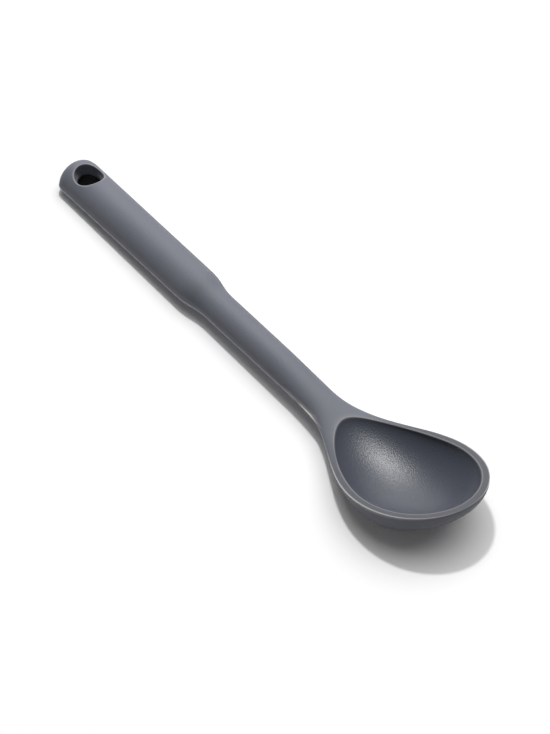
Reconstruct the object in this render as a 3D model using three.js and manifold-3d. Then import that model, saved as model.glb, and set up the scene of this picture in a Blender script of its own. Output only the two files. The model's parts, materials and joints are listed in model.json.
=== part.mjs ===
// A silicone cooking spoon: one grey silicone skin moulded over one stiff black nylon core.
// Millimetres, +Z up. The spoon is drawn along +X from the end of its handle (x = 0) to the tip of its bowl,
// with the parting plane of the handle at z = 0. Last of all it is laid down as it rests on a table,
// on its belly and its heel.

import * as THREE from 'three';
import { mergeVertices } from 'three/addons/utils/BufferGeometryUtils.js';
import Module from 'manifold-3d';

const wasm = await Module();
wasm.setup();

// Handle. A crown is the height above the parting plane, a keel the depth below it. The end of the handle is
// rounded over a length of its own in plan, on the crown and on the keel.
const spoonLength = 300;
const gripLength = 95;
const gripWidth = 21;
const gripCrown = 9;
const gripKeel = 5.3;
const endLength = 6.4;
const endCrownLength = 4.6;
const endKeelLength = 17;
const shoulderLength = 20;
const shaftWidth = 16.2;
const shaftCrown = 7.25;
const shaftKeel = 4.8;

// Bowl, with its stations measured back from the tip
const bowlWidth = 62.2;
const widestFromTip = 38.3;
const neckFromTip = 110;
const rimBendFromTip = 79.6;
const rimBendLength = 28;
const rimAngle = THREE.MathUtils.degToRad(11.15);
const rimCrown = 0.4;
const crownFadeFromTip = 142;
const crownFadeLength = 88.9;
const bellyDepth = 11.5;
const bellyFromTip = 31.2;

// Hollow of the bowl, with its depth below a line from the lip at the neck to the lip at the tip
const rimWidth = 3.55;
const tipRimWidth = 3.9;
const hollowLength = 86.8;
const hollowDepth = 14.5;

// Hanging hole near the end of the handle: an eye through the core, and a wider mouth in the silicone.
// Below, the core has a collar round the eye that runs down the mouth and ends just short of the underside.
const holeFromEnd = 13.7;
const eyeDiameter = 10;
const mouthDiameter = 13.8;
const collarRecess = 0.6;

// Core, with the silicone that covers it, and the holes that the silicone grips through
const sideCover = 3.2;
const topCover = 5;
const underCover = 2.4;
const plateThickness = 2;
const plateMargin = 7;
const plateTipMargin = 11;
const anchorDiameter = 5;
const anchorFromEnd = 38;
const anchorPitch = 32;
const anchorCount = 5;
const plateAnchorSpacing = 20;
const clearance = 0.3;

// Flats that the spoon rests on
const flatDepth = 0.25;

// Shares of a leg's run over which its two ends stay level or upright
const endPulls = [0.56, 0.56];
const shoulderPulls = [0.5, 0.5];
const neckPulls = [0.335, 0.38];
const tipPulls = [0.685, 0.44];
const crownFadePulls = [0.12, 0.124];
const bellyPulls = [0.45, 0.45];
const bellyTipPulls = [0.26, 0.36];
const lipNeckPulls = [0.34, 0.433];
const cupPull = 0.45;

// Powers that shape the hollow: its floor towards the neck and towards the tip, and its walls across
const floorNeckPower = 0.8;
const floorTipPower = 0.6;
const wallPower = 0.65;

// Fineness of the faceted surfaces
const sectionSides = 40;
const hollowSides = 22;
const coreSides = 8;
const holeSides = 32;
const anchorSides = 16;
const cupSteps = 6;
const legSteps = 8;
const coreLegSteps = 5;
const straightStep = 28;

// Stations along the handle and the bowl
const shoulderEnd = gripLength + shoulderLength;
const neckStart = spoonLength - neckFromTip;
const widest = spoonLength - widestFromTip;
const belly = spoonLength - bellyFromTip;
const lipTip = spoonLength - tipRimWidth;
const lipNeck = lipTip - hollowLength;
const plateTip = lipTip - plateTipMargin;

// A leg of a profile that leaves its start and reaches its end level with X
function easeLeg([startX, start], [endX, end], [startPull, endPull]) {
  const run = endX - startX;
  return new THREE.CubicBezierCurve(
    new THREE.Vector2(startX, start),
    new THREE.Vector2(startX + startPull * run, start),
    new THREE.Vector2(endX - endPull * run, end),
    new THREE.Vector2(endX, end),
  );
}

// A leg that leaves its start level with X and turns square to X at its end, as a rounded tip does
function roundLeg([startX, start], [endX, end], [startPull, endPull]) {
  return new THREE.CubicBezierCurve(
    new THREE.Vector2(startX, start),
    new THREE.Vector2(startX + startPull * (endX - startX), start),
    new THREE.Vector2(endX, end + endPull * (start - end)),
    new THREE.Vector2(endX, end),
  );
}

const legStart = (leg) => Math.min(leg.v0.x, leg.v3.x);
const legEnd = (leg) => Math.max(leg.v0.x, leg.v3.x);

// The value of a leg at station x, found by halving
function valueOn(leg, x) {
  const forward = leg.v3.x > leg.v0.x;
  let low = 0;
  let high = 1;
  for (let halving = 0; halving < 40; halving += 1) {
    const middle = (low + high) / 2;
    if (leg.getPoint(middle).x < x === forward) low = middle;
    else high = middle;
  }
  return leg.getPoint((low + high) / 2).y;
}

// A profile is its legs in order, with level runs between them
function profile(legs) {
  return (x) => {
    const leg = legs.find((each) => x <= legEnd(each)) ?? legs.at(-1);
    return valueOn(leg, THREE.MathUtils.clamp(x, legStart(leg), legEnd(leg)));
  };
}

// Height of the parting line: level along the handle, then bent up to the slope of the bowl's rim
function partingAt(x) {
  const past = x - (spoonLength - rimBendFromTip);
  const reach = rimBendLength / 2;
  const slope = Math.tan(rimAngle);
  if (past <= -reach) return 0;
  if (past >= reach) return slope * past;
  return (slope * (past + reach) ** 2) / (4 * reach);
}

// Half width in plan, height of the crown above the parting line, and the underside in the middle plane
const shoulderLeg = easeLeg([gripLength, gripWidth / 2], [shoulderEnd, shaftWidth / 2], shoulderPulls);
const neckLeg = easeLeg([neckStart, shaftWidth / 2], [widest, bowlWidth / 2], neckPulls);
const planLegs = [
  roundLeg([endLength, gripWidth / 2], [0, 0], endPulls),
  shoulderLeg,
  neckLeg,
  roundLeg([widest, bowlWidth / 2], [spoonLength, 0], tipPulls),
];
const halfWidthAt = profile(planLegs);

const crownStart = spoonLength - crownFadeFromTip;
const crownEnd = crownStart + crownFadeLength;
const crownFadeLeg = easeLeg([crownStart, shaftCrown], [crownEnd, rimCrown], crownFadePulls);
const crownAt = profile([
  roundLeg([endCrownLength, gripCrown], [0, 0], endPulls),
  easeLeg([gripLength, gripCrown], [shoulderEnd, shaftCrown], shoulderPulls),
  crownFadeLeg,
  roundLeg([widest, rimCrown], [spoonLength, 0], tipPulls),
]);

const endKeelLeg = roundLeg([endKeelLength, -gripKeel], [0, 0], endPulls);
const undersideAt = profile([
  endKeelLeg,
  easeLeg([gripLength, -gripKeel], [shoulderEnd, -shaftKeel], shoulderPulls),
  easeLeg([neckStart, -shaftKeel], [belly, -bellyDepth], bellyPulls),
  roundLeg([belly, -bellyDepth], [spoonLength, partingAt(spoonLength)], bellyTipPulls),
]);

// Share of a section's height that is left at y, on a section of half width reach
const archAt = (y, reach) => Math.sqrt(Math.max(0, 1 - (y / reach) ** 2));

const topAt = (x, y) => partingAt(x) + crownAt(x) * archAt(y, halfWidthAt(x));
const bottomAt = (x, y) => partingAt(x) - (partingAt(x) - undersideAt(x)) * archAt(y, halfWidthAt(x));

// The inner lip lies on the top of the solid spoon, a rim's width inside its outline
const lipLegs = [
  roundLeg([widest, bowlWidth / 2 - rimWidth], [lipNeck, 0], lipNeckPulls),
  roundLeg([widest, bowlWidth / 2 - rimWidth], [lipTip, 0], tipPulls),
];
const lipHalfWidthAt = profile(lipLegs);
const lipHeightAt = (x) => topAt(x, lipHalfWidthAt(x));

// Floor of the hollow in the middle plane: an even sag below the line from lip to lip
const deepest = floorNeckPower / (floorNeckPower + floorTipPower);
function floorAt(x) {
  const share = THREE.MathUtils.clamp((x - lipNeck) / hollowLength, 0, 1);
  const line = THREE.MathUtils.lerp(lipHeightAt(lipNeck), lipHeightAt(lipTip), share);
  const sag = (share / deepest) ** floorNeckPower * ((1 - share) / (1 - deepest)) ** floorTipPower;
  return line - hollowDepth * sag;
}

// Height of the hollow at a point of the plan inside the lip
function hollowAt(x, y) {
  const lip = lipHeightAt(x);
  const fall = Math.max(0, 1 - (y / lipHalfWidthAt(x)) ** 2) ** wallPower;
  return lip - (lip - floorAt(x)) * fall;
}

// Surface that faces up at a point of the plan: the hollow inside the lip, the crown or the rim outside it
function upperAt(x, y) {
  if (x <= lipNeck || x >= lipTip || Math.abs(y) >= lipHalfWidthAt(x)) return topAt(x, y);
  return Math.min(topAt(x, y), hollowAt(x, y));
}

// Stations from first to last: evenly along each curved leg, and at even steps along the straight runs
function stationsFor(legs, steps, first, last) {
  const stations = [];
  for (const leg of legs) {
    for (let step = 0; step <= steps; step += 1) stations.push(leg.getPoint(step / steps).x);
  }
  for (let x = first; x < last; x += straightStep) stations.push(x);
  const nearest = 0.1;
  const inner = stations.filter((x) => x > first + nearest && x < last - nearest).sort((a, b) => a - b);
  const spaced = inner.filter((x, i) => i === 0 || x - inner[i - 1] > nearest);
  return [first, ...spaced, last];
}

// A closed solid through rings of points of equal count. The end rings are shrunk to a point or an edge.
function loft(rings) {
  const count = rings[0].length;
  const geometry = new THREE.BufferGeometry();
  geometry.setAttribute('position', new THREE.Float32BufferAttribute(rings.flat(2), 3));
  const index = [];
  for (let ring = 0; ring + 1 < rings.length; ring += 1) {
    for (let side = 0; side < count; side += 1) {
      const next = (side + 1) % count;
      const here = ring * count;
      const there = here + count;
      index.push(here + side, here + next, there + next, here + side, there + next, there + side);
    }
  }
  geometry.setIndex(index);
  return geometry;
}

// The Manifold solid of a closed geometry, with shared corners merged and empty triangles dropped
function solidOf(geometry) {
  const bare = geometry.clone();
  bare.deleteAttribute('normal');
  bare.deleteAttribute('uv');
  const merged = mergeVertices(bare, 1e-4);
  const corners = merged.index.array;
  const triangles = [];
  for (let i = 0; i < corners.length; i += 3) {
    const [a, b, c] = corners.slice(i, i + 3);
    if (a !== b && b !== c && c !== a) triangles.push(a, b, c);
  }
  return new wasm.Manifold(new wasm.Mesh({
    numProp: 3,
    vertProperties: new Float32Array(merged.attributes.position.array),
    triVerts: new Uint32Array(triangles),
  }));
}

// A named three.js mesh of a Manifold solid
function meshOf(solid, name, material) {
  const { vertProperties, triVerts } = solid.getMesh();
  const geometry = new THREE.BufferGeometry();
  geometry.setAttribute('position', new THREE.BufferAttribute(new Float32Array(vertProperties), 3));
  geometry.setIndex(new THREE.BufferAttribute(new Uint32Array(triVerts), 1));
  geometry.computeVertexNormals();
  const mesh = new THREE.Mesh(geometry, material);
  mesh.name = name;
  return mesh;
}

// An upright round bar through the spoon at a point of the plan
function uprightBar(x, y, diameter, sides) {
  const height = 2 * bowlWidth;
  const bar = new THREE.CylinderGeometry(diameter / 2, diameter / 2, height, sides);
  bar.rotateX(Math.PI / 2);
  bar.translate(x, y, 0);
  return solidOf(bar);
}

// The spoon's outside as if it were solid through and through
function outsideSolid() {
  const legs = [...planLegs, crownFadeLeg, endKeelLeg];
  const rings = stationsFor(legs, legSteps, 0, spoonLength).map((x) => {
    const halfWidth = halfWidthAt(x);
    const parting = partingAt(x);
    const ring = [];
    for (let side = 0; side < sectionSides; side += 1) {
      const angle = (2 * Math.PI * side) / sectionSides;
      const rise = Math.sin(angle) * (Math.sin(angle) > 0 ? crownAt(x) : parting - undersideAt(x));
      ring.push([x, halfWidth * Math.cos(angle), parting + rise]);
    }
    return ring;
  });
  return solidOf(loft(rings));
}

// What the bowl's hollow takes out: a dish below the lip, and everything straight above it
function hollowSolid() {
  const clearAbove = lipHeightAt(lipTip) + gripCrown;
  const rings = stationsFor(lipLegs, legSteps, lipNeck, lipTip).map((x) => {
    const reach = lipHalfWidthAt(x);
    const ring = [[x, reach, clearAbove], [x, -reach, clearAbove]];
    for (let side = 0; side <= hollowSides; side += 1) {
      const y = -reach * Math.cos((Math.PI * side) / hollowSides);
      ring.push([x, y, hollowAt(x, y)]);
    }
    return ring;
  });
  return solidOf(loft(rings));
}

// What the hanging hole takes out of the silicone: a throat round the core's eye, and a cup in the top
function hangingHoleSolid() {
  const throat = eyeDiameter / 2 + clearance;
  const mouth = mouthDiameter / 2;
  const cupFloor = gripCrown - topCover;
  const cupWall = new THREE.QuadraticBezierCurve(
    new THREE.Vector2(throat, cupFloor),
    new THREE.Vector2(mouth, cupFloor + cupPull * topCover),
    new THREE.Vector2(mouth, gripCrown),
  );
  const hole = new THREE.LatheGeometry([
    new THREE.Vector2(0, -2 * gripKeel),
    new THREE.Vector2(throat, -2 * gripKeel),
    ...cupWall.getPoints(cupSteps),
    new THREE.Vector2(mouth, 2 * gripCrown),
    new THREE.Vector2(0, 2 * gripCrown),
  ], holeSides);
  hole.rotateX(Math.PI / 2);
  hole.translate(holeFromEnd, 0, 0);
  return solidOf(hole);
}

// The collar under the core's eye, or with grow above zero the room that it takes, out past the underside
function collarSolid(grow) {
  const bar = uprightBar(holeFromEnd, 0, mouthDiameter - 2 * clearance + 2 * grow, holeSides);
  const lower = bar.trimByPlane([0, 0, -1], 0);
  return grow > 0 ? lower : lower.intersect(outsideSolid().translate([0, 0, collarRecess]));
}

// Middles of the holes that the silicone grips through: along the handle, and four in the bowl's plate
function anchorPlaces() {
  const places = [];
  for (let i = 0; i < anchorCount; i += 1) places.push([anchorFromEnd + i * anchorPitch, 0]);
  for (const along of [-0.5, 0.5]) {
    for (const across of [-0.5, 0.5]) {
      places.push([widest + along * plateAnchorSpacing, across * plateAnchorSpacing]);
    }
  }
  return places;
}

// The core, or with grow above zero the room that it takes in the silicone. In the handle it lies under the
// full covers. Where the wall is too thin it is a plate, and the covers share what is left in proportion.
function coreSolid(grow) {
  const inset = sideCover - grow;
  const plateHalfWidth = bowlWidth / 2 - rimWidth - plateMargin + grow;
  const endLegs = [roundLeg([endLength, gripWidth / 2 - inset], [inset, 0], endPulls)];
  const tipLegs = [roundLeg([widest, plateHalfWidth], [plateTip + grow, 0], tipPulls)];
  const endWidthAt = profile(endLegs);
  const plateWidthAt = profile(tipLegs);
  const reachAt = (x) => (x < endLength ? endWidthAt(x) : Math.min(halfWidthAt(x) - inset, plateWidthAt(x)));
  const legs = [...endLegs, shoulderLeg, neckLeg, ...tipLegs];
  const rings = stationsFor(legs, coreLegSteps, inset, plateTip + grow).map((x) => {
    const upper = [];
    const lower = [];
    for (let side = 0; side <= coreSides; side += 1) {
      const y = reachAt(x) * Math.cos((Math.PI * side) / coreSides);
      const top = upperAt(x, y);
      const bottom = bottomAt(x, y);
      const share = Math.min(1, (top - bottom - plateThickness) / (topCover + underCover));
      upper.push([x, y, top - share * topCover + grow]);
      lower.unshift([x, y, bottom + share * underCover - grow]);
    }
    return [...upper, ...lower];
  });
  let core = solidOf(loft(rings)).add(collarSolid(grow));
  core = core.subtract(uprightBar(holeFromEnd, 0, eyeDiameter - 2 * grow, holeSides));
  for (const [x, y] of anchorPlaces()) {
    core = core.subtract(uprightBar(x, y, anchorDiameter - 2 * grow, anchorSides));
  }
  return core;
}

// The table under the resting spoon: a slab that shaves a small flat on the belly and one on the heel
const restTilt = Math.atan2(gripKeel - bellyDepth, belly - endKeelLength);
function tableSolid() {
  const thickness = 10;
  const slab = new THREE.BoxGeometry(2 * spoonLength, 2 * bowlWidth, thickness);
  slab.translate(0, 0, flatDepth - thickness / 2);
  slab.rotateY(-restTilt);
  slab.translate(endKeelLength, 0, -gripKeel);
  return solidOf(slab);
}

const siliconeFinish = new THREE.MeshStandardMaterial({ color: 0x7c7f8a, roughness: 0.6, metalness: 0 });
const nylonFinish = new THREE.MeshStandardMaterial({ color: 0x121316, roughness: 0.45, metalness: 0 });

const silicone = outsideSolid()
  .subtract(hollowSolid())
  .subtract(hangingHoleSolid())
  .subtract(coreSolid(clearance))
  .subtract(tableSolid());

const spoon = new THREE.Group();
spoon.add(meshOf(coreSolid(0), 'core', nylonFinish));
spoon.add(meshOf(silicone, 'silicone_body', siliconeFinish));

// Lay the spoon on the table, with the middle of its length over the origin
spoon.rotation.y = restTilt;
spoon.updateMatrixWorld(true);
const extent = new THREE.Box3().setFromObject(spoon, true);
spoon.position.x = -(extent.min.x + extent.max.x) / 2;
spoon.position.z = -extent.min.z;

export default spoon;
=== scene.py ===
# %% [markdown]
# # A silicone cooking spoon
# The real spoon is a stiff black core with one skin of slate grey silicone moulded over it. The core shows only in the
# hanging hole at the end of the handle, so nearly everything that the eye meets is one smooth, soft-edged skin.
# The measured part comes in first. Its core stays as it is, and its faceted skin gives way to a smooth one, which is
# modelled here loop by loop: handle, underside, rim, hollow and hanging hole.

# %% The measured part
import json
import math

import bmesh
import bpy
import numpy as np
from mathutils import Matrix, Vector
from mathutils.kdtree import KDTree

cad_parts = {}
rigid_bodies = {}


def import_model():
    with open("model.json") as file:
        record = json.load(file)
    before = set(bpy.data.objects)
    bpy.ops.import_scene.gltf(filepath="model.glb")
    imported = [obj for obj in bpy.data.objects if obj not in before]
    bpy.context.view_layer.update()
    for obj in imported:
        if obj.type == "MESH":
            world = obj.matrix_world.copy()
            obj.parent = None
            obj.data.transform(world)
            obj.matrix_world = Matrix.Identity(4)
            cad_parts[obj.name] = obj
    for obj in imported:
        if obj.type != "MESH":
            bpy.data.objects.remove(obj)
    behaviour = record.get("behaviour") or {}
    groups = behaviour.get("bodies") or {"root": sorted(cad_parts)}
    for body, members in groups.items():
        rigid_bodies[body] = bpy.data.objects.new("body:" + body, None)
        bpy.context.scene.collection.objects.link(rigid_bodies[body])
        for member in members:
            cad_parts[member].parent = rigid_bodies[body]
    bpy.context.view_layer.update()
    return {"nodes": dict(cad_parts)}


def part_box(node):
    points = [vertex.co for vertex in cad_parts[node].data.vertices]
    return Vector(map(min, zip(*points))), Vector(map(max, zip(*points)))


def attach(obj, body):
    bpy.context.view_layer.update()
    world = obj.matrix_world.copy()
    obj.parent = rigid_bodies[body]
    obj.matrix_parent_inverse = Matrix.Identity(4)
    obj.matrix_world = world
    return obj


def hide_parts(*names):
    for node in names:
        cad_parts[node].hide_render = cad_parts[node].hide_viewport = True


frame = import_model()

# %% [markdown]
# ## The spoon's profiles
# A long soft form like this one is easiest to hold in a few profiles along its length: how wide it is, how high its
# crown stands above the mould's parting line, and how deep it hangs below it. Each profile is a row of Bezier legs with
# level runs between them, as a draughtsman would lay a curve along a ruler. One unit is one millimetre for now, with
# the end of the handle at x = 0 and the parting line of the handle at z = 0.

# %% Legs and profiles


def bezier(a, b, c, d):
    t = np.linspace(0, 1, 600)
    return (1 - t) ** 3 * a + 3 * (1 - t) ** 2 * t * b + 3 * (1 - t) * t ** 2 * c + t ** 3 * d


def ease(start, end, pulls):
    """A leg that is level at both ends."""
    run = end[0] - start[0]
    along = bezier(start[0], start[0] + pulls[0] * run, end[0] - pulls[1] * run, end[0])
    return along, bezier(start[1], start[1], end[1], end[1])


def round_off(start, end, pulls):
    """A leg that starts level and ends upright, as a rounded tip does."""
    along = bezier(start[0], start[0] + pulls[0] * (end[0] - start[0]), end[0], end[0])
    value = bezier(start[1], start[1], end[1] + pulls[1] * (start[1] - end[1]), end[1])
    return (along, value) if end[0] > start[0] else (along[::-1], value[::-1])


def profile(*legs):
    along = np.concatenate([leg[0] for leg in legs])
    value = np.concatenate([leg[1] for leg in legs])
    return lambda x: np.interp(x, along, value)


# %% Outside of the spoon
LENGTH = 300.0
HEEL = 17.0
GRIP_END, SHAFT_START, SHAFT_END = 95.0, 115.0, 190.0
WIDEST = 261.7
BELLY = 268.8
GRIP_WIDE, SHAFT_WIDE, BOWL_WIDE = 10.5, 8.1, 31.1
GRIP_HIGH, SHAFT_HIGH, RIM_HIGH = 9.0, 7.25, 0.4
GRIP_DEEP, SHAFT_DEEP, BELLY_DEEP = 5.3, 4.8, 11.5
RIM_BEND, BEND_REACH = 220.4, 14.0
RIM_SLOPE = math.tan(math.radians(11.15))
ROUND = (0.56, 0.56)
EVEN = (0.5, 0.5)
TIP = (0.685, 0.44)


def parting(x):
    """Height of the parting line: level along the handle, then bent up to the slope of the bowl's rim."""
    past = np.asarray(x, float) - RIM_BEND
    bend = RIM_SLOPE * (past + BEND_REACH) ** 2 / (4 * BEND_REACH)
    return np.where(past <= -BEND_REACH, 0.0, np.where(past >= BEND_REACH, RIM_SLOPE * past, bend))


tip_height = float(parting(LENGTH))
half_width = profile(
    round_off((6.4, GRIP_WIDE), (0, 0), ROUND),
    ease((GRIP_END, GRIP_WIDE), (SHAFT_START, SHAFT_WIDE), EVEN),
    ease((SHAFT_END, SHAFT_WIDE), (WIDEST, BOWL_WIDE), (0.335, 0.38)),
    round_off((WIDEST, BOWL_WIDE), (LENGTH, 0), TIP),
)
crown = profile(
    round_off((4.6, GRIP_HIGH), (0, 0), ROUND),
    ease((GRIP_END, GRIP_HIGH), (SHAFT_START, SHAFT_HIGH), EVEN),
    ease((158, SHAFT_HIGH), (246.9, RIM_HIGH), (0.12, 0.124)),
    round_off((WIDEST, RIM_HIGH), (LENGTH, 0), TIP),
)
underside = profile(
    round_off((HEEL, -GRIP_DEEP), (0, 0), ROUND),
    ease((GRIP_END, -GRIP_DEEP), (SHAFT_START, -SHAFT_DEEP), EVEN),
    ease((SHAFT_END, -SHAFT_DEEP), (BELLY, -BELLY_DEEP), (0.45, 0.45)),
    round_off((BELLY, -BELLY_DEEP), (LENGTH, tip_height), (0.26, 0.36)),
)


def arch(y, reach):
    return np.sqrt(np.clip(1 - (y / np.maximum(reach, 1e-6)) ** 2, 0, None))


def top_height(x, y):
    return parting(x) + crown(x) * arch(y, half_width(x))


def bottom_height(x, y):
    return parting(x) - (parting(x) - underside(x)) * arch(y, half_width(x))


print("spoon", LENGTH, "mm long, bowl", 2 * float(half_width(WIDEST)), "mm wide, tip", round(tip_height, 1), "mm up")

# %% Hollow of the bowl
LIP_NECK = 209.3
LIP_TIP = 296.1
LIP_WIDE = 27.55
DEPTH = 14.5
NECK_POWER, TIP_POWER, WALL_POWER = 0.8, 0.6, 0.65
DEEPEST = NECK_POWER / (NECK_POWER + TIP_POWER)
lip_reach = profile(
    round_off((WIDEST, LIP_WIDE), (LIP_NECK, 0), (0.34, 0.433)),
    round_off((WIDEST, LIP_WIDE), (LIP_TIP, 0), TIP),
)


def lip_height(x):
    return top_height(x, lip_reach(x))


def floor(x):
    """Height of the hollow along its middle: one even curve below a straight line from lip to lip."""
    share = np.clip((np.asarray(x, float) - LIP_NECK) / (LIP_TIP - LIP_NECK), 0, 1)
    line = lip_height(LIP_NECK) + (lip_height(LIP_TIP) - lip_height(LIP_NECK)) * share
    return line - DEPTH * (share / DEEPEST) ** NECK_POWER * ((1 - share) / (1 - DEEPEST)) ** TIP_POWER


def dish_height(x, y):
    fall = np.clip(1 - (y / np.maximum(lip_reach(x), 1e-6)) ** 2, 0, None) ** WALL_POWER
    return lip_height(x) - (lip_height(x) - floor(x)) * fall


middle = LIP_NECK + DEEPEST * (LIP_TIP - LIP_NECK)
print("hollow", round(LIP_TIP - LIP_NECK, 1), "mm long, floor at", round(float(floor(middle)), 1))

# %% [markdown]
# ## Pulling loops
# By hand, one selects a loop of edges, extrudes it and drags the new loop to its place. The helper below does that one
# step: it extrudes what is selected and then sets each new vertex at its place on the profiles. Everything on the skin
# is made by it, so the mesh is clean quads that flow along the spoon.

# %% Loop helpers


def edit_mesh():
    return bmesh.from_edit_mesh(bpy.context.edit_object.data)


def select_where(test):
    """Selects the vertices that pass the test, with the edges and faces between them."""
    bpy.ops.mesh.select_all(action="DESELECT")
    mesh = edit_mesh()
    for vertex in mesh.verts:
        if test(vertex):
            vertex.select_set(True)
    mesh.select_flush_mode()
    bmesh.update_edit_mesh(bpy.context.edit_object.data)
    return sum(vertex.select for vertex in mesh.verts)


def select_points(points):
    """Selects the vertices that lie on these points."""
    tree = KDTree(len(points))
    for index, point in enumerate(points):
        tree.insert(point, index)
    tree.balance()
    return select_where(lambda vertex: tree.find(vertex.co)[2] < 1e-4)


def settle(old, new):
    """Moves each selected vertex from its old point to the new one."""
    tree = KDTree(len(old))
    for index, point in enumerate(old):
        tree.insert(point, index)
    tree.balance()
    for vertex in edit_mesh().verts:
        if vertex.select:
            vertex.co = new[tree.find(vertex.co)[1]]
    bmesh.update_edit_mesh(bpy.context.edit_object.data)


def pull_loop(old, new):
    """Extrudes the selected loop and puts its copy on the new points."""
    bpy.ops.mesh.extrude_region_move()
    settle(old, new)
    return new


def mark(layer_name, value):
    """Writes a number on the selected vertices, for the finish to read."""
    mesh = edit_mesh()
    layer = mesh.verts.layers.float.get(layer_name) or mesh.verts.layers.float.new(layer_name)
    for vertex in mesh.verts:
        if vertex.select:
            vertex[layer] = value
    bmesh.update_edit_mesh(bpy.context.edit_object.data)


# %% [markdown]
# ## The handle
# The handle is an egg-shaped section, higher above the parting line than below it, that swells from the slim shaft into
# the grip. A circle stands across the spoon just before the neck, and is pulled station by station to the end of the
# handle, where it closes to a point.

# %% Handle
NECK = 176.0
AROUND = 64
SEAM = 0.28
PROUD = 0.16


def section(x):
    """Points round the spoon's section at station x: seam on +Y, the crown, seam on -Y, the underside."""
    wide, high, deep = float(half_width(x)), float(crown(x)), float(parting(x) - underside(x))
    seam = min(SEAM, 0.2 * high, 0.2 * deep)
    above = np.linspace(math.asin(seam / high), math.pi - math.asin(seam / high), AROUND // 2 - 1)
    below = np.linspace(math.pi + math.asin(seam / deep), 2 * math.pi - math.asin(seam / deep), AROUND // 2 - 1)
    edge = wide + PROUD * seam / SEAM
    across = np.concatenate([[edge], wide * np.cos(above), [-edge], wide * np.cos(below)])
    rise = np.concatenate([[0], high * np.sin(above), [0], deep * np.sin(below)])
    return np.stack([np.full(AROUND, x), across, parting(x) + rise], 1)


angles = np.arange(AROUND) * 2 * math.pi / AROUND
bpy.ops.object.select_all(action="DESELECT")
bpy.ops.mesh.primitive_circle_add(
    vertices=AROUND, radius=1.0, location=(NECK, 0, 0), rotation=(math.pi / 2, 0, math.pi / 2)
)
skin = bpy.context.object
skin.name = skin.data.name = "silicone_skin"
bpy.ops.object.transform_apply(location=True, rotation=True, scale=True)
bpy.ops.object.mode_set(mode="EDIT")
bpy.ops.mesh.select_all(action="SELECT")
circle = np.stack([np.full(AROUND, NECK), np.cos(angles), np.sin(angles)], 1)
settle(circle, section(NECK))

HOLE_X = 13.7
HOLE_FROM = 4.4
HOLE_TO = 23.6
handle_stations = np.concatenate([
    np.linspace(NECK, 116, 16)[1:],
    np.linspace(116, 94, 12)[1:],
    np.linspace(94, HOLE_TO, 18)[1:],
    np.linspace(HOLE_TO, HOLE_FROM, 17)[1:],
    HOLE_FROM * (1 - np.arange(1, 10) / 10) ** 2,
])
ring = section(NECK)
for station in handle_stations:
    ring = pull_loop(ring, section(station))
bpy.ops.mesh.merge(type="CENTER")
print("handle:", len(handle_stations), "loops of", AROUND, "vertices")

# %% [markdown]
# ## The underside of the bowl
# Below the parting line the shaft opens into the belly. Only the lower half of the first ring is pulled on towards the
# tip, so that the top stays open for the rim and the hollow.

# %% Underside
LEFT, RIGHT = AROUND // 2 - 1, 1
lower = list(range(LEFT, AROUND)) + [0, RIGHT]
under_stations = NECK + (LENGTH - NECK) * np.sin(np.linspace(0, math.pi / 2, 61)[1:-1])
ring = section(NECK)[lower]
select_points(ring)
for station in under_stations:
    ring = pull_loop(ring, section(station)[lower])
tip_point = np.array([[LENGTH, 0, tip_height]])
bpy.ops.mesh.extrude_region_move()
bpy.ops.mesh.merge(type="CENTER")
settle(tip_point, tip_point)
print("underside:", len(under_stations), "half loops")

# %% [markdown]
# ## The rim and the neck
# What is open now is one loop: over the crown at the neck, along the parting line on both sides and round the tip.
# It is pulled inwards until it lies on the lip of the hollow. Each vertex walks straight, seen from above, to its own
# place on the lip, and its height comes from the crown, so the neck flows into the rim with no seam.

# %% Rim
over_neck = section(NECK)[RIGHT:LEFT + 1]
right_side = np.array([section(x)[RIGHT] for x in under_stations])
left_side = right_side * (1, -1, 1)
outline = np.concatenate([over_neck, left_side, tip_point, right_side[::-1]])

lip_x = LIP_NECK + (LIP_TIP - LIP_NECK) * (1 - np.cos(np.linspace(0, math.pi, 4000))) / 2
lip_y = lip_reach(lip_x)
lip_run = np.concatenate([[0], np.cumsum(np.hypot(np.diff(lip_x), np.diff(lip_y)))])
NECK_SPAN = 9.0
NECK_SPREAD = 0.38
front = np.argmax(lip_y > NECK_SPAN)


def lip_partner(point, side):
    """The place on the lip for a point of the outline. side is its distance from the neck, for one beside the bowl."""
    if side is None:
        run = np.interp(abs(point[1]) / half_width(NECK) * NECK_SPAN, lip_y[:front], lip_run[:front])
    else:
        nearest = lip_run[np.argmin(np.hypot(lip_x - point[0], lip_y - abs(point[1])))]
        run = max(nearest, lip_run[front] + NECK_SPREAD * side)
    x = float(np.interp(run, lip_run, lip_x))
    return x, math.copysign(float(lip_reach(x)), point[1])


steps = np.diff(np.concatenate([over_neck[:1], right_side, tip_point]), axis=0)
side_run = list(np.cumsum(np.linalg.norm(steps, axis=1)))
outline_sides = [None] * len(over_neck) + side_run + side_run[-2::-1]
partners = np.array([lip_partner(point, side) for point, side in zip(outline, outline_sides)])

EDGE_ROOM = 0.8
RIM_LOOPS = 12
inward = partners - outline[:, :2]
distance = np.linalg.norm(inward, axis=1, keepdims=True)
select_points(outline)
loop = outline
for step in range(1, RIM_LOOPS + 2):
    share = step / RIM_LOOPS * (1 - EDGE_ROOM / distance) if step <= RIM_LOOPS else 1.0
    plan = outline[:, :2] + inward * share
    loop = pull_loop(loop, np.column_stack([plan, top_height(plan[:, 0], plan[:, 1])]))
lip_line = loop
print("rim:", RIM_LOOPS + 1, "loops of", len(outline), "vertices")

# %% [markdown]
# ## The hollow
# Inside the lip the bowl falls steeply and then runs out into a flat floor. The lip's loop is pulled inwards towards
# the deepest point, closely spaced while the wall is steep, and sinks to the dish at every step.

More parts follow.
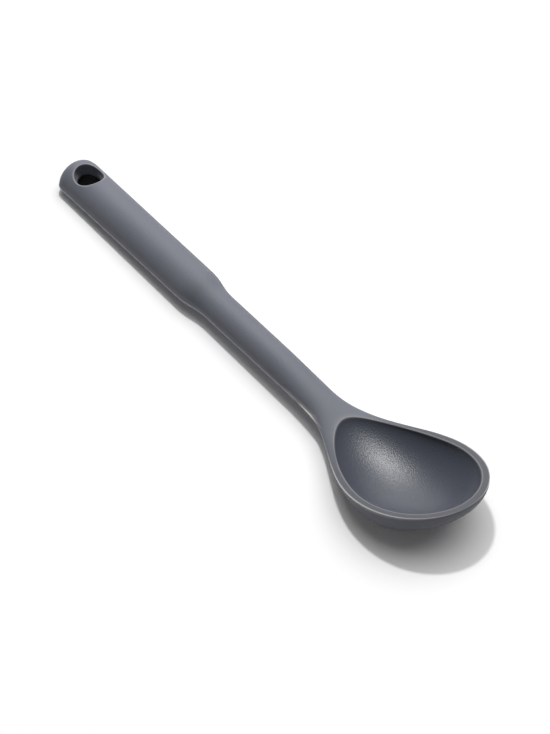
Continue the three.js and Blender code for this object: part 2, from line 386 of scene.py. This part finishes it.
# %% Hollow
HOLLOW_LOOPS = 20
FIRST_TURN = math.radians(82.3)
centre = np.array([middle, 0.0])
for step in range(HOLLOW_LOOPS):
    share = math.sin(FIRST_TURN * (1 - step / HOLLOW_LOOPS))
    plan = centre + (lip_line[:, :2] - centre) * share
    loop = pull_loop(loop, np.column_stack([plan, dish_height(plan[:, 0], plan[:, 1])]))
    mark("hollow", 1.0)
bpy.ops.mesh.merge(type="CENTER")
mark("hollow", 1.0)
print("hollow:", HOLLOW_LOOPS, "loops, floor at", round(float(dish_height(*centre)), 2))

# %% [markdown]
# ## The hanging hole
# The hole goes straight through the grip. On top its mouth is a cup in the silicone, which narrows to the eye in the
# core. Below, the silicone ends in a plain round mouth that the core's collar fills. A window of faces is deleted on
# the top and on the underside, each window's edge is pulled in to a round mouth and along its wall, and the two throats
# are bridged inside the core, out of sight.

# %% Hanging hole
MOUTH = 6.9
THROAT = 5.3
CORE_TOP = 4.0
COLLAR_ROOT = -1.0
WINDOW = math.cos(math.radians(28))


def cup_radius(share):
    """Radius of the cup. share runs from 0 at its throat to 1 at its mouth."""
    t = np.linspace(0, 1, 200)
    rise = 2 * t * (1 - t) * 0.45 + t ** 2
    return THROAT + (MOUTH - THROAT) * np.interp(share, rise, 1 - (1 - t) ** 2)


def bore_radius(share):
    """Radius of the plain mouth round the collar, closed to the throat at the collar's root."""
    return np.where(share > 0.01, MOUTH, THROAT)


def cut_mouth(height, side, throat_height, wall):
    """Opens the skin round the hole on one face, and pulls the edge to the mouth and along its wall to the throat."""

    def in_window(vertex):
        x, y, z = vertex.co
        inside = HOLE_FROM - 0.01 < x < HOLE_TO + 0.01
        return inside and abs(y) < WINDOW * half_width(x) + 0.02 and side * (z - parting(x)) > 0

    select_where(in_window)
    bpy.ops.mesh.select_mode(type="FACE")
    bpy.ops.mesh.delete(type="FACE")
    bpy.ops.mesh.select_mode(type="VERT")
    border = [vertex.co.copy() for vertex in edit_mesh().verts if vertex.is_boundary and side * vertex.co.z > 0]
    points = np.array(border)
    select_points(points)
    turn = np.arctan2(points[:, 1], points[:, 0] - HOLE_X)
    out = np.hypot(points[:, 1], points[:, 0] - HOLE_X)
    ray = np.stack([np.cos(turn), np.sin(turn)], 1)
    for share in (0.3, 0.6, 0.82, 1.0):
        radius = out + (MOUTH - out) * share
        plan = np.array([HOLE_X, 0]) + ray * radius[:, None]
        points = pull_loop(points, np.column_stack([plan, height(plan[:, 0], plan[:, 1])]))
    mouth_height = points[:, 2]
    cup_depth = abs(height(HOLE_X + 20, 0) - throat_height)
    for share in (0.82, 0.64, 0.46, 0.3, 0.15, 0.0):
        level = throat_height + (mouth_height - throat_height) * share
        radius = wall(np.abs(level - throat_height) / cup_depth)
        plan = np.array([HOLE_X, 0]) + ray * radius[:, None]
        points = pull_loop(points, np.column_stack([plan, level]))
    return points


upper_throat = cut_mouth(top_height, 1, CORE_TOP, cup_radius)
lower_throat = cut_mouth(bottom_height, -1, COLLAR_ROOT, bore_radius)
select_points(np.concatenate([upper_throat, lower_throat]))
bpy.ops.mesh.bridge_edge_loops(number_cuts=3, interpolation="LINEAR")
print("hanging hole: mouth", 2 * MOUTH, "mm, throat", 2 * THROAT, "mm,", len(upper_throat), "vertices round")

# %% [markdown]
# ## Soft edges
# Silicone never has a sharp edge. The lip of the bowl and the mouths of the hole get a small bevel. The parting line
# already has its fine raised seam, where the two halves of the mould met. The light that these rounded edges and the
# seam catch is painted into their colour as a pale highlight. How strong it is, is written on their vertices here, and
# the finish reads it later. A subdivision surface then rounds everything off.

# %% Bevels


def on_mouth(vertex):
    x, y, z = vertex.co
    on_rim = abs(math.hypot(x - HOLE_X, y) - MOUTH) < 1e-3
    return on_rim and min(abs(z - top_height(x, y)), abs(z - bottom_height(x, y))) < 1e-3


def on_seam(vertex):
    x, y, z = vertex.co
    return abs(y) > half_width(x) + 1e-3 and abs(z - parting(x)) < 1e-3


# Strengths of the painted highlight along the lip, the mouths and the seam, and of weaker painted light beside them.
PAINTED_LIP_HIGHLIGHT, PAINTED_LIGHT_BESIDE_LIP = 0.2, 0.05
PAINTED_MOUTH_HIGHLIGHT = 0.25
PAINTED_SEAM_HIGHLIGHT, PAINTED_LIGHT_BESIDE_SEAM = 1.0, 0.25
bpy.ops.mesh.select_mode(type="VERT")
select_points(lip_line)
bpy.ops.mesh.bevel(offset=0.35, segments=3, affect="EDGES")
bpy.ops.mesh.select_more()
mark("edge", PAINTED_LIGHT_BESIDE_LIP)
bpy.ops.mesh.select_less()
mark("edge", PAINTED_LIP_HIGHLIGHT)
print("mouth vertices:", select_where(on_mouth))
bpy.ops.mesh.bevel(offset=0.4, segments=3, affect="EDGES")
mark("edge", PAINTED_MOUTH_HIGHLIGHT)
select_where(lambda vertex: on_seam(vertex) and vertex.co.x > NECK)
bpy.ops.mesh.select_more()
mark("edge", PAINTED_LIGHT_BESIDE_SEAM)
print("seam vertices:", select_where(on_seam))
mark("edge", PAINTED_SEAM_HIGHLIGHT)

# %% Rounding
bpy.ops.mesh.select_all(action="SELECT")
bpy.ops.mesh.remove_doubles(threshold=0.001)
bpy.ops.mesh.normals_make_consistent(inside=False)
bpy.ops.object.mode_set(mode="OBJECT")
bpy.ops.object.shade_smooth()
rounding = skin.modifiers.new("rounding", "SUBSURF")
rounding.levels = rounding.render_levels = 1
bpy.ops.object.modifier_apply(modifier=rounding.name)
print("skin:", len(skin.data.polygons), "faces")

# %% [markdown]
# ## Laying it down
# The spoon rests on its belly and on the heel of its handle, so it is turned a little about Y, shrunk from millimetres
# to metres and set on the floor. What would sink into the floor is pressed flat, as the weight of the spoon does.

# %% Rest
tilt = math.atan2(GRIP_DEEP - BELLY_DEEP, BELLY - HEEL)
FLAT = 0.25
lift = HEEL * math.sin(tilt) + GRIP_DEEP * math.cos(tilt) - FLAT
tip_reach = LENGTH * math.cos(tilt) + tip_height * math.sin(tilt)
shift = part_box("silicone_body")[1].x * 1000 - tip_reach
rest = Matrix.Scale(0.001, 4) @ Matrix.Translation((shift, 0, lift)) @ Matrix.Rotation(tilt, 4, "Y")
skin.matrix_world = rest
bpy.ops.object.transform_apply(location=True, rotation=True, scale=True)
bpy.ops.object.mode_set(mode="EDIT")
print("pressed flat:", select_where(lambda vertex: vertex.co.z < 0), "vertices")
bpy.ops.transform.resize(value=(1, 1, 0), center_override=(0, 0, 0))
bpy.ops.object.mode_set(mode="OBJECT")
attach(skin, "root")
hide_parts("silicone_body")

# %% [markdown]
# ## Writing a finish as sums
# A finish is a small sum over the surface: a colour, plus a little of this noise, times that mask. The two classes let
# such sums be written as plain Python. `Finish.node` adds any node, and a `Value` is one of its outputs.

# %% Finish helpers


class Value:
    """A number or colour on a node's output. A sum with it adds a Math node."""

    def __init__(self, finish, socket):
        self.finish = finish
        self.socket = socket

    def math(self, operation, first, second):
        return self.finish.node("ShaderNodeMath", {"operation": operation}, {0: first, 1: second})

    def __add__(self, other):
        return self.math("ADD", self, other)

    def __sub__(self, other):
        return self.math("SUBTRACT", self, other)

    def __rsub__(self, other):
        return self.math("SUBTRACT", other, self)

    def __mul__(self, other):
        return self.math("MULTIPLY", self, other)

    __radd__ = __add__
    __rmul__ = __mul__


class Finish:
    """The nodes of a material, or of the world."""

    def __init__(self, owner):
        owner.use_nodes = True
        self.owner = owner
        self.tree = owner.node_tree
        self.tree.nodes.clear()

    def node(self, kind, settings, inputs, output=0):
        made = self.tree.nodes.new(kind)
        for name, setting in settings.items():
            setattr(made, name, setting)
        for name, value in inputs.items():
            if isinstance(value, Value):
                self.tree.links.new(value.socket, made.inputs[name])
            else:
                made.inputs[name].default_value = value
        return Value(self, made.outputs[output]) if made.outputs else None

    def noise(self, scale, detail=2.0):
        place = self.node("ShaderNodeTexCoord", {}, {}, "Object")
        return self.node("ShaderNodeTexNoise", {}, {"Vector": place, "Scale": scale, "Detail": detail})

    def blend(self, share, first, second):
        first, second = [part if isinstance(part, Value) else (*part, 1) for part in (first, second)]
        inputs = {"Factor": share, 6: first, 7: second}
        return self.node("ShaderNodeMix", {"data_type": "RGBA"}, inputs, 2)

    def surface(self, shader, output="ShaderNodeOutputMaterial"):
        self.node(output, {}, {"Surface": shader})
        return self.owner


def put_on(piece, material):
    piece.data.materials.clear()
    piece.data.materials.append(material)
    print(piece.name, "wears", material.name)


# %% [markdown]
# ## Silicone
# Silicone out of a blasted mould is matte, with a fine grain, and dust and handling leave it very slightly cloudy. From
# the neck on, the bowl is darker in colour than the handle, and its hollow is darker still. The hollow is also the
# smoothest: a lamp shows in it as a soft, grainy glint. The grain is a bump at the scale of the blasting and the
# cloudiness a slow noise in colour and roughness. The change from handle to bowl runs along the neck, and the marks on
# the vertices say where the hollow is and where a pale highlight is painted along the edges. A little sheen gives the
# light fringe of matte rubber at a grazing angle.

# %% Silicone finish
silicone = Finish(bpy.data.materials.new("slate_silicone"))
cloud = silicone.noise(45.0, 3.0)
grain = silicone.noise(1900.0, 2.0)
place = silicone.node("ShaderNodeTexCoord", {}, {}, "Object")
along = silicone.node("ShaderNodeSeparateXYZ", {}, {"Vector": place}, "X")
# From the neck on, the bowl's colour is darker than the handle's; the hollow's colour is darker still.
bowl = silicone.node("ShaderNodeMapRange", {}, {"Value": along, "From Min": 0.060, "From Max": 0.088})
blasted = silicone.blend(cloud, (0.188, 0.198, 0.240), (0.212, 0.222, 0.266))
darker_bowl = silicone.blend(cloud, (0.104, 0.109, 0.131), (0.118, 0.123, 0.147))
colour = silicone.blend(bowl, blasted, darker_bowl)
edge = silicone.node("ShaderNodeAttribute", {"attribute_name": "edge"}, {}, "Fac")
hollow = silicone.node("ShaderNodeAttribute", {"attribute_name": "hollow"}, {}, "Fac")
colour = silicone.blend(hollow, colour, (0.085, 0.094, 0.123))
# Painted highlight: where the 'edge' mark is set, the colour is blended towards near white, in place of the light that
# the lip, the mouths and the seam catch.
colour = silicone.blend(edge, colour, (0.85, 0.83, 0.82))
relief = silicone.node("ShaderNodeBump", {}, {"Strength": 0.7, "Distance": 0.00018, "Height": grain})
shader = silicone.node("ShaderNodeBsdfPrincipled", {}, {
    "Base Color": colour,
    "Roughness": 0.6 - 0.28 * hollow + 0.05 * cloud,
    "Normal": relief,
    "IOR": 1.45,
    "Sheen Weight": 0.07,
    "Sheen Roughness": 0.4,
})
put_on(skin, silicone.surface(shader))

# %% [markdown]
# ## The core's nylon
# The core is black moulded nylon, smoother than the silicone. What shows of it is the wall of the eye, where the light
# catches faint upright draw marks from the pin that cored it.

# %% Nylon finish
nylon = Finish(bpy.data.materials.new("black_nylon"))
place = nylon.node("ShaderNodeTexCoord", {}, {}, "Object")
drawn = nylon.node("ShaderNodeMapping", {}, {"Vector": place, "Scale": (1400.0, 1400.0, 90.0)})
marks = nylon.node("ShaderNodeTexNoise", {}, {"Vector": drawn, "Scale": 1.0, "Detail": 2.0})
black = nylon.blend(marks, (0.001, 0.001, 0.001), (0.003, 0.003, 0.003))
scored = nylon.node("ShaderNodeBump", {}, {"Strength": 0.3, "Distance": 0.00005, "Height": marks})
shader = nylon.node("ShaderNodeBsdfPrincipled", {}, {
    "Base Color": black,
    "Roughness": 0.4 + 0.2 * marks,
    "Normal": scored,
    "Specular IOR Level": 0.1,
})
put_on(frame["nodes"]["core"], nylon.surface(shader))

# %% [markdown]
# ## Floor and light
# The photograph is a product shot: white all round, with a crisp shadow inside a soft one, and light from behind.
# Two lamps light the floor alone and make its shadows: a small one overhead and a wide tent. Two more light the spoon
# alone: one behind, which makes the glint in the bowl, and one near the horizon, for the far edges. Light groups keep
# them apart. The floor is white to the eye and in reflections, but bounces less light on to the spoon, so its sides
# stay dark. The camera is far off with a long lens, because the photograph shows almost no perspective.

# %% Floor
bpy.ops.object.select_all(action="DESELECT")
bpy.ops.mesh.primitive_plane_add(size=12.0, location=(0, 0, 0))
ground = bpy.context.object
ground.name = "floor"
white = Finish(bpy.data.materials.new("white_floor"))
seen = white.node("ShaderNodeLightPath", {}, {}, "Is Camera Ray")
mirrored = white.node("ShaderNodeLightPath", {}, {}, "Is Glossy Ray")
passed = white.node("ShaderNodeLightPath", {}, {}, "Is Transmission Ray")
shown = white.node("ShaderNodeMath", {"operation": "MAXIMUM"}, {0: seen, 1: mirrored + passed})
paper = white.node("ShaderNodeBsdfDiffuse", {}, {"Color": (0.95, 0.95, 0.95, 1)})
lift_white = white.node("ShaderNodeEmission", {}, {"Color": (1, 1, 1, 1), "Strength": 0.04})
bright = white.node("ShaderNodeAddShader", {}, {0: paper, 1: lift_white})
dull = white.node("ShaderNodeBsdfDiffuse", {}, {"Color": (0.6, 0.6, 0.6, 1)})
put_on(ground, white.surface(white.node("ShaderNodeMixShader", {}, {0: shown, 1: dull, 2: bright})))

# %% Camera
ELEVATION = math.radians(41.99)
TURN = math.radians(54.13)
AIM = Vector((160.44, -2.645, 0.0))
PIXELS_PER_MM = 2.236
DISTANCE = 10500.0
right = Vector((math.cos(TURN), math.sin(TURN), 0))
away = Vector((-math.sin(TURN), math.cos(TURN), 0))
up = away * math.sin(ELEVATION) + Vector((0, 0, math.cos(ELEVATION)))
back = right.cross(up)
bpy.ops.object.camera_add()
camera = bpy.context.object
pose = Matrix((right, up, back)).transposed().to_4x4()
pose.translation = AIM + back * DISTANCE
turned = rest @ pose
camera.matrix_world = Matrix.Translation(turned.translation) @ turned.to_3x3().normalized().to_4x4()
camera.data.sensor_width = 36.0
camera.data.lens = PIXELS_PER_MM * DISTANCE / 734 * 36.0
bpy.context.scene.camera = camera
print("camera", round(camera.data.lens), "mm lens at", [round(v, 2) for v in camera.matrix_world.translation])

# %% Lamps and fill


def add_lamp(name, slant, size, energy):
    """A round lamp 2 m from the spoon. slant is how far it leans to the right and away for each unit of height."""
    toward = (Matrix.Rotation(tilt, 3, "Y") @ (right * slant[0] + away * slant[1] + Vector((0, 0, 1)))).normalized()
    bpy.ops.object.light_add(type="AREA", location=toward * 2.0)
    lamp = bpy.context.object
    lamp.name = name
    lamp.rotation_mode = "QUATERNION"
    lamp.rotation_quaternion = toward.to_track_quat("Z", "Y")
    lamp.data.shape = "DISK"
    lamp.data.size = size
    lamp.data.energy = energy
    return lamp


def light_only(lamp, name, pieces):
    """Keeps a lamp's light to some pieces. The others still cast their shadows in it."""
    group = bpy.data.collections.new(name)
    for piece in pieces:
        group.objects.link(piece)
    lamp.light_linking.receiver_collection = group


overhead = add_lamp("overhead_lamp", (-0.04, 0.22), 0.16, 17.0)
tent = add_lamp("white_tent", (0.28, 0.22), 3.2, 41.0)
back_lamp = add_lamp("back_lamp", (0.04, 0.595), 0.3, 31.0)
horizon = add_lamp("horizon_lamp", (0.0, 2.0), 1.4, 8.0)
light_only(overhead, "lit_floor", [ground])
light_only(tent, "lit_tent", [ground])
light_only(back_lamp, "lit_spoon", [skin, frame["nodes"]["core"]])
light_only(horizon, "lit_edges", [skin, frame["nodes"]["core"]])

sky = Finish(bpy.data.worlds.new("soft_fill"))
seen = sky.node("ShaderNodeLightPath", {}, {}, "Is Camera Ray")
fill = sky.node("ShaderNodeBackground", {}, {"Color": (1, 1, 1, 1), "Strength": 0.09})
clear = sky.node("ShaderNodeBackground", {}, {"Color": (1, 1, 1, 1), "Strength": 1.0})
backdrop = sky.node("ShaderNodeMixShader", {}, {0: seen, 1: fill, 2: clear})
bpy.context.scene.world = sky.surface(backdrop, "ShaderNodeOutputWorld")
bpy.context.scene.view_settings.view_transform = "Standard"
